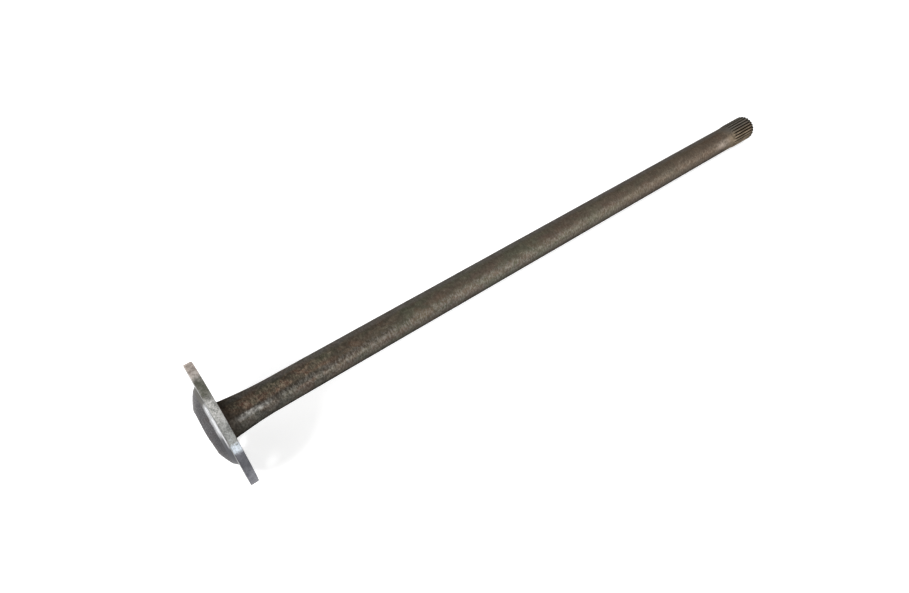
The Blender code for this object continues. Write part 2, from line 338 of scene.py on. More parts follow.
def shaft_rings():
    """Root fillet, flare, plain shaft, ramp, spline blank and end face."""
    taper = (FLARE_RADIUS - SHAFT_RADIUS) / FLARE_LENGTH
    fillet = bend((FLARE_RADIUS + ROOT_FILLET, 0.0), (FLARE_RADIUS, 0.0),
                  (FLARE_RADIUS - taper * ROOT_FILLET, -ROOT_FILLET), steps=8)
    blend_top = (SHAFT_RADIUS + taper * FLARE_BLEND, FLARE_BLEND - FLARE_LENGTH)
    blend = bend(blend_top, (SHAFT_RADIUS, -FLARE_LENGTH),
                 (SHAFT_RADIUS, -FLARE_LENGTH - FLARE_BLEND), steps=12)
    flare_rows = 10
    flare = [(fillet[-1][0] + (blend_top[0] - fillet[-1][0]) * step / flare_rows,
              fillet[-1][1] + (blend_top[1] - fillet[-1][1]) * step / flare_rows)
             for step in range(1, flare_rows)]
    ramp = bend((SHAFT_RADIUS, RAMP_START + RAMP_EASE), (SHAFT_RADIUS, RAMP_START - RAMP_CORNER),
                (SHAFT_RADIUS + RAMP_RISE, RAMP_START - RAMP_BEND), steps=4)
    ramp += bend((SPLINE_RADIUS - RAMP_RISE, SPLINE_START + RAMP_BEND),
                 (SPLINE_RADIUS, SPLINE_START), (SPLINE_RADIUS, SPLINE_START - RAMP_EASE), steps=4)
    rows = round((blend[-1][1] - RAMP_START) / SHAFT_PITCH)
    plain = [(SHAFT_RADIUS, blend[-1][1] + (RAMP_START - blend[-1][1]) * step / rows)
             for step in range(1, rows)]
    plain = [point for point in plain if point[1] > ramp[0][1] + SHAFT_PITCH / 4]
    rings = [(radius, z, SHAFT_SEGMENTS) for radius, z in fillet + flare + blend + plain + ramp]
    blank = 6 * SPLINE_TEETH
    rings += [(SPLINE_RADIUS, END_CHAMFER - SHAFT_REACH, blank),
              (SPLINE_RADIUS - END_CHAMFER, -SHAFT_REACH, blank),
              (SPLINE_RADIUS / 2, -SHAFT_REACH, blank)]
    return rings


def shaped(points):
    """Forged, turned and rolled shape of the plain surface of revolution."""
    x, y, z = points.T.copy()
    radius = np.hypot(x, y)
    on_boss = (z > FLANGE_THICKNESS - TINY) & (radius < BOSS_RADIUS + TINY)
    on_shaft = (z < -ROOT_FILLET) & (z > RAMP_START)
    boss_x, boss_y = x[on_boss], y[on_boss]
    die_x, die_y = boss_x - FORGING_SHIFT[0], boss_y - FORGING_SHIFT[1]
    forged = forged_height(die_x, die_y) + crease_height(die_x, die_y)
    forged += relief(np.stack([boss_x, boss_y, forged], 1), FORGED_RELIEF)
    z[on_boss] = FLANGE_THICKNESS + np.minimum(forged, turned_height(radius[on_boss]))
    swell = relief(points[on_shaft] * np.array(ROLLED_STRETCH), ROLLED_RELIEF)
    x[on_shaft] *= 1 + swell / SHAFT_RADIUS
    y[on_shaft] *= 1 + swell / SHAFT_RADIUS
    return np.stack([x, y, z], 1)


def forging_mesh():
    """The whole shaft as one closed mesh, before anything is drilled or cut."""
    points = [(0.0, 0.0, FLANGE_THICKNESS)]
    faces = []
    start = 1
    for index, (radius, z, count) in enumerate(boss_rings() + flange_rings() + shaft_rings()):
        turn = np.arange(count) * 2 * math.pi / count
        points += [(radius * math.cos(a), radius * math.sin(a), z) for a in turn]
        if index == 0:
            faces += [(0, start + i, start + (i + 1) % count) for i in range(count)]
        else:
            faces += stitch(before, before_count, start, count)
        before, before_count = start, count
        start += count
    points.append((0.0, 0.0, -SHAFT_REACH))
    faces += [(before + i, start, before + (i + 1) % before_count) for i in range(before_count)]
    mesh = bpy.data.meshes.new("shaft")
    mesh.from_pydata(shaped(np.array(points)).tolist(), [], faces)
    return mesh


def new_object(name, data):
    """An object with its data, linked to the scene."""
    item = bpy.data.objects.new(name, data)
    bpy.context.scene.collection.objects.link(item)
    return item


def mesh_object(name, bm):
    """An object with the faces of a bmesh, which is freed."""
    mesh = bpy.data.meshes.new(name)
    bm.to_mesh(mesh)
    bm.free()
    return new_object(name, mesh)


def turned_cutter(name, profile, segments):
    """Closed solid turned about Z from (radius, z) points that run from top to bottom."""
    mesh = bpy.data.meshes.new(name)
    mesh.from_pydata([(r, 0.0, z) for r, z in profile],
                     [(i, i + 1) for i in range(len(profile) - 1)], [])
    item = new_object(name, mesh)
    screw = item.modifiers.new("turn", "SCREW")
    screw.steps = screw.render_steps = segments
    screw.use_merge_vertices = True
    screw.merge_threshold = TINY
    return item


def centre_drill(name, hole, sink, depth):
    """Drill with its point down, whose countersink is wider by sink at its mouth at Z = 0."""
    radius = hole / 2
    top = OVERRUN * 4
    widest = radius + sink + top * math.tan(CENTRE_CONE)
    profile = [(0.0, top), (widest, top), (radius, -sink / math.tan(CENTRE_CONE)),
               (radius, -depth), (0.0, -depth - radius / math.tan(DRILL_POINT))]
    return turned_cutter(name, profile, HOLE_SEGMENTS)


def bolt_hole_cutters():
    """One cutter for each bolt hole, with a small edge break at both faces."""
    radius = BOLT_HOLE / 2
    wide = radius + BOLT_EDGE_BREAK + OVERRUN
    top = FLANGE_THICKNESS + OVERRUN
    profile = [(0.0, top), (wide, top), (radius, FLANGE_THICKNESS - BOLT_EDGE_BREAK),
               (radius, BOLT_EDGE_BREAK), (wide, -OVERRUN), (0.0, -OVERRUN)]
    cutters = []
    for index in range(BOLT_COUNT):
        cutter = turned_cutter(f"bolt_hole_{index + 1}", profile, HOLE_SEGMENTS)
        angle = BOLT_PHASE + 2 * math.pi * index / BOLT_COUNT
        cutter.location = (BOLT_CIRCLE_RADIUS * math.cos(angle),
                           BOLT_CIRCLE_RADIUS * math.sin(angle), 0.0)
        cutters.append(cutter)
    return cutters


def dent_cutter():
    """Round tools that each leave a shallow dent in the outer face or a nick in its edge."""
    bm = bmesh.new()
    for distance, angle, size in DENTS:
        centre = Vector((distance * math.cos(angle), distance * math.sin(angle),
                         FLANGE_THICKNESS + size * DENT_LIFT))
        turn = Matrix.Rotation(angle * DENT_SPIN, 4, "X")
        bmesh.ops.create_icosphere(bm, subdivisions=2, radius=size,
                                   matrix=Matrix.Translation(centre) @ turn)
    return mesh_object("dents", bm)


def space_half_angle(radius):
    """Half of the angle of one tooth space at a radius, from the involute of the tooth's flank."""
    pitch_radius = SPLINE_RADIUS * SPLINE_TEETH / (SPLINE_TEETH + 1)
    base_radius = pitch_radius * math.cos(PRESSURE_ANGLE)
    at_radius = math.acos(base_radius / radius)
    opening = (math.tan(at_radius) - at_radius) - (math.tan(PRESSURE_ANGLE) - PRESSURE_ANGLE)
    return math.pi / 2 / SPLINE_TEETH + opening


def space_section():
    """Outline of one tooth space with rounded root corners and broken tips, X along the radius."""
    root = SPLINE_RADIUS - TOOTH_DEPTH
    tip = SPLINE_RADIUS - TIP_BREAK
    low = space_half_angle(root)
    wide = space_half_angle(tip) + 3 * TIP_BREAK / SPLINE_RADIUS
    outline = [(root, low * 0.35), (root + TOOTH_DEPTH * 0.04, low * 0.8)]
    for radius in [root + TOOTH_DEPTH * share for share in FLANK_SHARES] + [tip]:
        outline.append((radius, space_half_angle(radius)))
    outline.append((SPLINE_RADIUS + 2 * TIP_BREAK, wide))
    half = [(radius * math.cos(angle), radius * math.sin(angle)) for radius, angle in outline]
    return half + [(x, -y) for x, y in reversed(half)]


def spline_cutter():
    """All tooth spaces: each is swept from past the end to the ramp, where it rises on an arc."""
    bm = bmesh.new()
    section = space_section()
    lift_angle = math.acos(1 - (TOOTH_DEPTH + 3 * TIP_BREAK) / CUTTER_RADIUS)
    path = [(0.0, -SHAFT_REACH - OVERRUN), (0.0, SPLINE_START)]
    for step in range(1, CUTTER_STEPS + 1):
        angle = lift_angle * step / CUTTER_STEPS
        path.append((CUTTER_RADIUS * (1 - math.cos(angle)),
                     SPLINE_START + CUTTER_RADIUS * math.sin(angle)))
    for index in range(SPLINE_TEETH):
        turn = Matrix.Rotation(math.pi + 2 * math.pi * index / SPLINE_TEETH, 3, "Z")
        rows = [[bm.verts.new(turn @ Vector((x + lift, y, z))) for x, y in section]
                for lift, z in path]
        for row, after in zip(rows, rows[1:]):
            for i in range(len(section)):
                k = (i + 1) % len(section)
                bm.faces.new((row[i], row[k], after[k], after[i]))
        bm.faces.new(rows[0][::-1])
        bm.faces.new(rows[-1])
    bmesh.ops.recalc_face_normals(bm, faces=bm.faces)
    return mesh_object("spline_spaces", bm)


def cut_mesh():
    """The forging with its holes, lathe centres, spline and dents cut."""
    shaft = new_object("uncut_shaft", forging_mesh())
    flange_centre = centre_drill("flange_centre", CENTRE_HOLE, CENTRE_SINK, CENTRE_DEPTH)
    flange_centre.location.z = FLANGE_THICKNESS + CROWN_HEIGHT - DISH_DEPTH
    end_centre = centre_drill("end_centre", END_CENTRE_HOLE, END_CENTRE_SINK, END_CENTRE_DEPTH)
    end_centre.location.z = -SHAFT_REACH
    end_centre.rotation_euler.x = math.pi
    cutters = bolt_hole_cutters() + [flange_centre, end_centre, spline_cutter(), dent_cutter()]
    for cutter in cutters:
        cut = shaft.modifiers.new(cutter.name, "BOOLEAN")
        cut.operation = "DIFFERENCE"
        cut.solver = "EXACT"
        cut.object = cutter
    bpy.context.view_layer.update()
    evaluated = shaft.evaluated_get(bpy.context.evaluated_depsgraph_get())
    mesh = bpy.data.meshes.new_from_object(evaluated)
    for item in cutters + [shaft]:
        bpy.data.objects.remove(item, do_unlink=True)
    return mesh


def in_bolt_hole(x, y):
    """Whether a point lies within one of the bolt holes or its edge break."""
    pitch = 2 * math.pi / BOLT_COUNT
    angle = math.atan2(y, x) - BOLT_PHASE
    off = angle - round(angle / pitch) * pitch
    radius = math.hypot(x, y)
    from_hole = math.hypot(radius * math.cos(off) - BOLT_CIRCLE_RADIUS, radius * math.sin(off))
    return from_hole < BOLT_HOLE / 2 + BOLT_EDGE_BREAK


def zone_of(centre):
    """Name of the finish at a point in shaft space."""
    x, y, z = centre
    radius = math.hypot(x, y)
    between_faces = TINY < z < FLANGE_THICKNESS - TINY
    if z < END_FACE_TOP or (z < END_CENTRE_ZONE_TOP and radius < END_CENTRE_ZONE_RADIUS):
        return "turned"
    if radius < GREASE_RADIUS and z < GREASE_TOP:
        return "centre"
    if z < -TINY and radius < FLARE_RADIUS + ROOT_FILLET * 0.9:
        return "scale"
    if z > FLANGE_THICKNESS + TINY and radius < RING_FOOT_RADIUS:
        return "forged"
    if between_faces and in_bolt_hole(x, y):
        return "bore"
    if between_faces and radius > FLANGE_RADIUS - RIM_CHAMFER * 1.01:
        return "rim"
    return "turned"


class Paint:
    """A material's nodes, with short calls for what the finishes share."""

    def __init__(self, name):
        self.material = bpy.data.materials.new(name)
        self.material.use_nodes = True
        self.tree = self.material.node_tree
        self.shader = self.tree.nodes["Principled BSDF"]
        self.place = self.add("Attribute", {"attribute_name": PLACE}).outputs["Vector"]

    def add(self, kind, settings=None, inputs=None):
        """A new node with its settings made and its inputs fed."""
        item = self.tree.nodes.new("ShaderNode" + kind)
        for key, value in (settings or {}).items():
            setattr(item, key, value)
        for key, value in (inputs or {}).items():
            self.feed(item.inputs[key], value)
        return item

    def feed(self, socket, value):
        """Link an output to a socket, or write a plain value into it."""
        if isinstance(value, bpy.types.NodeSocket):
            self.tree.links.new(value, socket)
        else:
            socket.default_value = value

    def finish(self, **inputs):
        """The material, with the shader's inputs fed by their names."""
        for key, value in inputs.items():
            self.feed(self.shader.inputs[key.replace("_", " ")], value)
        return self.material

    def maths(self, operation, a, b=0.0):
        return self.add("Math", {"operation": operation}, {0: a, 1: b}).outputs[0]

    def times(self, *values):
        product = values[0]
        for value in values[1:]:
            product = self.maths("MULTIPLY", product, value)
        return product

    def stretched(self, scale, shift=0.0):
        """The place in shaft space, scaled and moved on as a seed for a noise."""
        scaled = self.add("VectorMath", {"operation": "MULTIPLY"}, {0: self.place, 1: scale})
        moved = self.add("VectorMath", {"operation": "ADD"},
                         {0: scaled.outputs[0], 1: (shift, shift * 0.7, -shift)})
        return moved.outputs[0]

    def stored(self, name):
        """The value that the mesh keeps under a name."""
        return self.add("Attribute", {"attribute_name": name}).outputs["Fac"]

    def radius(self):
        """Distance from the shaft's axis."""
        flat = self.add("VectorMath", {"operation": "MULTIPLY"},
                        {0: self.place, 1: (1.0, 1.0, 0.0)}).outputs[0]
        return self.add("VectorMath", {"operation": "LENGTH"}, {0: flat}).outputs["Value"]

    def axial(self):
        """Distance along the shaft's axis, from the hub face."""
        return self.add("SeparateXYZ", None, {0: self.place}).outputs["Z"]

    def turn(self):
        """Angle about the shaft's axis."""
        parts = self.add("SeparateXYZ", None, {0: self.place}).outputs
        return self.maths("ARCTAN2", parts["Y"], parts["X"])

    def side(self, angle, spread):
        """1 at an angle about the axis, fading to 0 at spread from it, both in degrees."""
        off = self.maths("SUBTRACT", self.turn(), math.radians(angle))
        return self.level(self.maths("COSINE", off), math.cos(math.radians(spread)), 1.0)

    def grain(self, vector, detail=4.0, rough=0.55, distortion=0.0):
        """Noise in space, for clouds, blotches and specks."""
        inputs = {"Vector": vector, "Scale": 1.0, "Detail": detail, "Roughness": rough,
                  "Distortion": distortion}
        return self.add("TexNoise", None, inputs).outputs["Fac"]

    def lines(self, position, detail=3.0):
        """Noise along one number, for tool marks."""
        inputs = {"W": position, "Scale": 1.0, "Detail": detail, "Roughness": 0.6}
        return self.add("TexNoise", {"noise_dimensions": "1D"}, inputs).outputs["Fac"]

    def level(self, value, low, high, to_low=0.0, to_high=1.0):
        """A value's range from low to high laid on another range, and held within it."""
        inputs = {"Value": value, "From Min": low, "From Max": high,
                  "To Min": to_low, "To Max": to_high}
        return self.add("MapRange", {"clamp": True}, inputs).outputs["Result"]

    def blend(self, share, a, b, mode="MIX"):
        """Colour a where share is 0 and b where it is 1."""
        return self.add("Mix", {"data_type": "RGBA", "blend_type": mode},
                        {0: share, 6: a, 7: b}).outputs[2]

    def bump(self, height, distance, normal=None):
        inputs = {"Height": height, "Distance": distance, "Strength": 1.0}
        if normal is not None:
            inputs["Normal"] = normal
        return self.add("Bump", None, inputs).outputs["Normal"]

    def round_tangent(self):
        """Tangent along the lathe's marks."""
        return self.add("Tangent", {"direction_type": "RADIAL", "axis": "X"}).outputs[0]


def colour(red, green, blue):
    return (red, green, blue, 1.0)


def turned_steel():
    """Bare steel with lathe marks round the axis, faint stains and a conic sheen."""
    paint = Paint("turned_steel")
    across = paint.maths("SUBTRACT", paint.radius(), paint.axial())
    wander = paint.grain(paint.stretched((30, 30, 30)), 2.0)
    track = paint.maths("ADD", across, paint.times(wander, 0.0006))
    fine = paint.lines(paint.times(track, 5200.0), 2.0)
    broad = paint.lines(paint.times(track, 520.0), 3.0)
    cloud = paint.grain(paint.stretched((34, 34, 34), 4.0), 6.0, 0.62)
    speck = paint.grain(paint.stretched((900, 900, 900), 1.0), 2.0)
    base = paint.blend(paint.level(cloud, 0.38, 0.66), colour(0.185, 0.188, 0.186),
                       colour(0.118, 0.118, 0.115))
    film = paint.times(paint.side(45, 50), paint.level(cloud, 0.4, 0.6, 0.1, 0.6))
    base = paint.blend(film, base, colour(0.125, 0.092, 0.083))
    base = paint.blend(paint.level(broad, 0.35, 0.65, 0.0, 0.2), base, colour(0.24, 0.24, 0.235))
    base = paint.blend(paint.level(speck, 0.66, 0.76, 0.0, 0.35), base, colour(0.08, 0.075, 0.07))
    rough = paint.maths("ADD", paint.level(broad, 0.3, 0.7, 0.26, 0.32),
                        paint.level(cloud, 0.4, 0.7, 0.0, 0.06))
    normal = paint.bump(fine, 0.00002)
    normal = paint.bump(broad, 0.00003, normal)
    return paint.finish(Base_Color=base, Metallic=1.0, Roughness=rough, Normal=normal,
                        Anisotropic=0.9, Anisotropic_Rotation=0.25, Tangent=paint.round_tangent())


def rim_steel():
    """Rim with fine mottled stains, a tan film at its top and one dark patch, with painted shade on
    its underside and beside a painted bluish highlight.
    """
    paint = Paint("rim_steel")
    cloud = paint.grain(paint.stretched((90, 90, 110), 6.0), 6.0, 0.66, 0.3)
    fine = paint.grain(paint.stretched((560, 560, 640), 2.0), 3.0, 0.65)
    tone = paint.maths("ADD", paint.times(cloud, 0.6), paint.times(fine, 0.4))
    base = paint.blend(paint.level(tone, 0.43, 0.58), colour(0.53, 0.52, 0.50),
                       colour(0.20, 0.20, 0.19))
    tan = paint.blend(paint.level(tone, 0.43, 0.57), colour(0.54, 0.44, 0.375),
                      colour(0.27, 0.215, 0.18))
    base = paint.blend(paint.times(paint.side(52, 55), 0.85), base, tan)
    patch = paint.times(paint.side(0, 15), paint.level(cloud, 0.36, 0.56, 0.8, 1.0))
    olive = paint.blend(paint.level(tone, 0.42, 0.58), colour(0.160, 0.157, 0.130),
                        colour(0.088, 0.087, 0.070))
    base = paint.blend(paint.level(patch, 0.08, 0.80), base, olive)
    # Painted shade: a darker grey stripe beside the highlight, broken by the cloud.
    dull_shade = paint.times(paint.side(-46, 22), paint.level(cloud, 0.36, 0.60, 1.0, 0.7))
    grey = paint.blend(paint.level(tone, 0.42, 0.58), colour(0.165, 0.168, 0.160),
                       colour(0.066, 0.070, 0.066))
    base = paint.blend(dull_shade, base, grey)
    # Painted highlight: a narrow bluish-white patch low on the rim.
    painted_glint = paint.maths("ADD", paint.side(-57, 7), paint.level(tone, 0.40, 0.60, 0.25, -0.35))
    painted_glint = paint.times(paint.level(painted_glint, 0.15, 0.75), paint.level(fine, 0.62, 0.44, 0.45, 1.0))
    base = paint.blend(paint.times(painted_glint, 0.8), base, colour(0.42, 0.465, 0.52))
    # Painted shade: the underside darker and bluish.
    underside_shade = paint.times(paint.side(-123, 66), paint.level(tone, 0.38, 0.60, 0.75, 1.0))
    underside_shade = paint.level(underside_shade, 0.02, 0.10)
    dark_underside = paint.blend(paint.level(tone, 0.42, 0.60), colour(0.175, 0.175, 0.19),
                        colour(0.088, 0.088, 0.100))
    base = paint.blend(underside_shade, base, dark_underside)
    # Painted shade, near-black just below the highlight.
    deep = paint.times(paint.side(-70, 17), underside_shade, 0.75)
    base = paint.blend(deep, base, colour(0.050, 0.050, 0.056))
    rough = paint.level(tone, 0.38, 0.62, 0.60, 0.74)
    return paint.finish(Base_Color=base, Metallic=0.55, Roughness=rough,
                        Normal=paint.bump(fine, 0.00006), Specular_IOR_Level=0.2)


def forged_skin():
    """Sandy purple-grey forged skin that turns to bare steel where the lathe has cut it."""
    paint = Paint("forged_skin")
    # Skin, lighter on one side with painted light, and dark with rust and scale elsewhere
    sand = paint.grain(paint.stretched((780, 780, 780)), 3.0, 0.62)
    fine = paint.grain(paint.stretched((1900, 1900, 1900), 3.0), 3.0, 0.62)
    cloud = paint.grain(paint.stretched((75, 75, 75), 9.0), 6.0, 0.66)
    tone = paint.maths("ADD", paint.times(sand, 0.5), paint.times(fine, 0.5))
    base = paint.blend(paint.level(tone, 0.42, 0.66), colour(0.026, 0.024, 0.026),
                       colour(0.192, 0.184, 0.190))
    # Painted light: the skin lighter on one side of the boss.
    painted_lit_side = paint.times(paint.side(88, 84), paint.level(tone, 0.42, 0.60))
    base = paint.blend(paint.times(painted_lit_side, 0.75), base, colour(0.42, 0.40, 0.40))
    rust = paint.level(cloud, 0.52, 0.66, 0.0, 0.4)
    base = paint.blend(rust, base, colour(0.068, 0.045, 0.040))
    base = paint.blend(paint.level(cloud, 0.34, 0.48, 0.5, 0.0), base, colour(0.034, 0.033, 0.035))
    # Dish: painted shade inside it on one side, a painted highlight along its edge on the other
    # side, and painted shade round it on that side
    dish = paint.stored(DISH)
    # Painted shade inside the dish on one side.
    painted_dish_shade = paint.times(paint.level(dish, 1.0, 0.82), paint.side(50, 105))
    base = paint.blend(paint.times(painted_dish_shade, 0.72), base, colour(0.034, 0.030, 0.030))
    # Painted highlight along the dish's edge on the other side.
    edge = paint.times(paint.level(dish, 0.86, 0.97), paint.level(dish, 1.10, 0.99),
                       paint.side(215, 105), paint.level(cloud, 0.38, 0.60, 0.1, 0.5))
    base = paint.blend(edge, base, colour(0.23, 0.22, 0.22))
    # Painted shade on the shoulder round the dish, on that side.
    painted_shoulder_shade = paint.times(paint.level(dish, 1.04, 1.22), paint.side(222, 100))
    base = paint.blend(paint.times(painted_shoulder_shade, 0.8), base, colour(0.022, 0.020, 0.021))
    skirt = paint.level(paint.radius(), 0.037, 0.047, 0.0, 0.36)
    base = paint.blend(skirt, base, colour(0.046, 0.043, 0.044))
    # Painted shade: the lower side of the shoulder darker.
    low = paint.times(paint.side(-62, 32), paint.level(paint.radius(), 0.038, 0.046))
    base = paint.blend(paint.times(low, 0.7), base, colour(0.028, 0.027, 0.030))
    rough = paint.level(tone, 0.42, 0.62, 0.60, 0.36)
    normal = paint.bump(sand, 0.00060)
    normal = paint.bump(fine, 0.00020, normal)
    # Turned ring: a painted highlight on one side, where it is also smoother and more metallic, and
    # painted shade with smudges round the rest
    bare = paint.stored(BARE)
    across = paint.maths("SUBTRACT", paint.radius(), paint.axial())
    wander = paint.times(paint.grain(paint.stretched((60, 60, 60), 5.0), 3.0), 0.004)
    track = paint.maths("ADD", across, wander)
    marks = paint.lines(paint.times(track, 1300.0), 3.0)
    film = paint.grain(paint.stretched((75, 75, 75), 14.0), 4.0, 0.6)
    steel = paint.blend(paint.level(marks, 0.38, 0.62), colour(0.92, 0.93, 0.95),
                        colour(0.50, 0.50, 0.51))
    smudge = paint.maths("ADD", paint.radius(), paint.times(film, 0.0045))
    steel = paint.blend(paint.level(smudge, 0.0560, 0.0543, 0.0, 0.7), steel,
                        colour(0.20, 0.20, 0.205))
    # Painted highlight on one side of the ring, and a painted highlight line near its outer edge.
    clean_and_highlit = paint.level(paint.side(-25, 27), 0.0, 0.7)
    clean_and_highlit = paint.times(clean_and_highlit, paint.level(film, 0.62, 0.46, 0.55, 1.0))
    edge_line_highlight = paint.times(paint.side(-50, 19), paint.level(track, 0.0441, 0.0449))
    clean_and_highlit = paint.maths("MAXIMUM", clean_and_highlit, paint.times(edge_line_highlight, 0.8))
    # Painted shade away from the highlight: darker and bluish towards the lower side, browner on
    # another side.
    dull_shade = paint.blend(paint.side(-80, 40), colour(0.17, 0.168, 0.168),
                       colour(0.085, 0.085, 0.093))
    dull_shade = paint.blend(paint.side(24, 36), dull_shade, colour(0.105, 0.100, 0.088))
    steel = paint.blend(paint.maths("SUBTRACT", 1.0, clean_and_highlit), steel, dull_shade)
    # The two meet where the lathe's cut begins
    base = paint.blend(bare, base, steel)
    rough = paint.maths("ADD", paint.times(rough, paint.maths("SUBTRACT", 1.0, bare)),
                        paint.times(bare, paint.level(clean_and_highlit, 0.0, 1.0, 0.60, 0.36)))
    metal = paint.times(bare, paint.level(clean_and_highlit, 0.0, 1.0, 0.6, 1.0))
    normal = paint.add("Mix", {"data_type": "VECTOR"},
                       {0: bare, 4: normal, 5: paint.bump(marks, 0.00002)}).outputs[1]
    return paint.finish(Base_Color=base, Metallic=metal, Roughness=rough, Normal=normal,
                        Specular_IOR_Level=0.25)


def greasy_centre():
    """Dark, greasy inside of the lathe centre."""
    paint = Paint("greasy_centre")
    marks = paint.lines(paint.times(paint.axial(), 2600.0), 2.0)
    smear = paint.grain(paint.stretched((500, 500, 300)), 3.0)
    base = paint.blend(paint.level(smear, 0.4, 0.65), colour(0.020, 0.018, 0.016),
                       colour(0.060, 0.055, 0.050))
    return paint.finish(Base_Color=base, Metallic=0.2, Roughness=0.55,
                        Normal=paint.bump(marks, 0.00004), Specular_IOR_Level=0.2)


def scaled_shaft():
    """Dark scale, rusty near the flange, olive in the middle and tan towards the spline."""
    paint = Paint("scaled_shaft")
    along = paint.axial()
    near_flange = paint.level(along, -0.40, -0.06)
    near_spline = paint.level(along, -0.45, -0.95)
    strokes = paint.grain(paint.stretched((200, 200, 400)), 3.0, 0.66, 0.4)
    mottle = paint.grain(paint.stretched((110, 110, 75), 2.0), 6.0, 0.70, 0.5)
    scratch = paint.grain(paint.stretched((420, 420, 95), 9.0), 2.0, 0.5, 0.3)
    blotch = paint.grain(paint.stretched((60, 60, 34), 12.0), 5.0, 0.6, 0.5)
    patch = paint.grain(paint.stretched((32, 32, 15), 7.0), 4.0, 0.55)
    speck = paint.grain(paint.stretched((850, 850, 850), 1.0), 3.0)
    # Scale with dark mottle, rust and olive blotches
    middle = paint.blend(paint.level(patch, 0.42, 0.58), colour(0.090, 0.088, 0.062),
                         colour(0.088, 0.068, 0.052))
    base = paint.blend(near_spline, middle, colour(0.104, 0.080, 0.060))
    base = paint.blend(near_flange, base, colour(0.084, 0.070, 0.050))
    dark = paint.times(paint.level(mottle, 0.56, 0.44),
                       paint.level(near_flange, 0.0, 1.0, 0.22, 0.62))
    base = paint.blend(dark, base, colour(0.034, 0.031, 0.025))
    rust = paint.times(paint.level(blotch, 0.50, 0.62),
                       paint.level(near_flange, 0.0, 1.0, 0.30, 0.80))
    base = paint.blend(rust, base, colour(0.090, 0.055, 0.038))
    olive = paint.times(paint.level(blotch, 0.46, 0.36),
                        paint.level(near_spline, 0.0, 1.0, 0.55, 0.1))
    base = paint.blend(olive, base, colour(0.064, 0.068, 0.044))
    # Streaks and stripes that run along the shaft: painted shade on its top and underside, a rust
    # ridge, a dark seam, a painted highlight by its upper edge and pale painted highlight strokes
    # where the front light falls
    # Painted shade: the top of the shaft a little darker.
    base = paint.blend(paint.times(paint.side(-2, 48), 0.06), base, colour(0.042, 0.034, 0.026))
    hatch = paint.level(strokes, 0.44, 0.62)
    ridge = paint.times(paint.side(-18, 30), paint.level(along, -0.17, -0.09),
                        paint.level(mottle, 0.40, 0.56))
    rusty = paint.blend(paint.level(blotch, 0.44, 0.54), colour(0.080, 0.068, 0.048),
                        colour(0.096, 0.056, 0.039))
    rusty = paint.blend(paint.times(hatch, 0.7), rusty, colour(0.175, 0.140, 0.102))
    base = paint.blend(ridge, base, rusty)
    seam = paint.times(paint.side(-44, 14), paint.level(along, -0.30, -0.11, 0.0, 0.85))
    base = paint.blend(seam, base, colour(0.028, 0.023, 0.018))
    # Painted shade: the underside darker.
    base = paint.blend(paint.times(paint.side(-123, 64), 0.62), base, colour(0.042, 0.043, 0.042))
    # Painted highlight: a lighter stripe along the upper edge.
    shoulder = paint.blend(paint.level(mottle, 0.40, 0.60), colour(0.165, 0.156, 0.148),
                           colour(0.088, 0.082, 0.076))
    base = paint.blend(paint.times(paint.side(34, 30), 0.7), base, shoulder)
    # Painted highlight: pale strokes only where the front light falls.
    highlight_band = paint.side(-60, 30)
    lit = paint.times(paint.level(highlight_band, 0.0, 0.6, 0.06, 0.5),
                      paint.level(near_flange, 0.0, 1.0, 1.0, 0.6))
    pale = paint.blend(near_spline, colour(0.150, 0.144, 0.130), colour(0.155, 0.132, 0.108))
    base = paint.blend(paint.times(hatch, lit), base, pale)
    # Painted shade along the lit stripe near the flange.
    base = paint.blend(paint.times(highlight_band, near_flange, 0.35), base, colour(0.036, 0.036, 0.033))
    # Flared root, darker on its lower side, with a painted highlight streak and painted shade where
    # it meets the flange; painted shade along the lower edge of the whole shaft
    # Darker on the lower side near the root.
    dark_underside = paint.times(paint.side(-80, 38), paint.level(along, -0.120, -0.050), 0.45)
    base = paint.blend(dark_underside, base, colour(0.042, 0.044, 0.040))
    # Painted highlight: a pale streak on the lower side of the root's flare.
    root_highlight = paint.times(paint.side(-48, 11), paint.level(along, -0.008, -0.018),
                         paint.level(along, -0.062, -0.036),
                         paint.level(mottle, 0.38, 0.54, 0.3, 1.0))
    base = paint.blend(root_highlight, base, colour(0.185, 0.178, 0.165))
    base = paint.blend(paint.level(scratch, 0.68, 0.74, 0.0, 0.5), base, colour(0.22, 0.19, 0.155))
    base = paint.blend(paint.level(speck, 0.56, 0.70, 0.0, 0.6), base, colour(0.022, 0.019, 0.016))
    # Painted shade: darker towards the root, where the shaft meets the flange.
    root = paint.level(along, -0.026, -0.004, 0.0, 0.85)
    base = paint.blend(root, base, colour(0.024, 0.020, 0.016))
    # Painted shade: near-black along the lower edge, where the shaft is also less metallic.
    lower_edge_shade = paint.side(-125, 34)
    base = paint.blend(paint.times(lower_edge_shade, 0.85), base, colour(0.012, 0.012, 0.011))
    # Turned ramp and spline, with a painted highlight on the ramp, painted shade on their top, and
    # darker in the tooth spaces and round the end
    turned = paint.level(along, RAMP_START + 0.030, RAMP_START - 0.004, 0.0, 0.8)
    land = paint.blend(paint.level(mottle, 0.62, 0.38), colour(0.200, 0.158, 0.112),
                       colour(0.104, 0.083, 0.059))
    base = paint.blend(turned, base, land)
    # Painted highlight: a lighter tan patch on the ramp.
    ramp_highlight = paint.times(paint.side(-58, 26),
                         paint.level(along, RAMP_START + 0.062, RAMP_START + 0.036),
                         paint.level(along, RAMP_START + 0.010, RAMP_START + 0.030),
                         paint.level(mottle, 0.40, 0.54, 0.25, 1.0))
    base = paint.blend(ramp_highlight, base, colour(0.225, 0.190, 0.160))
    shade = paint.level(paint.times(paint.side(26, 64), turned), 0.0, 0.55, 0.0, 0.8)
    base = paint.blend(shade, base, colour(0.100, 0.094, 0.084))
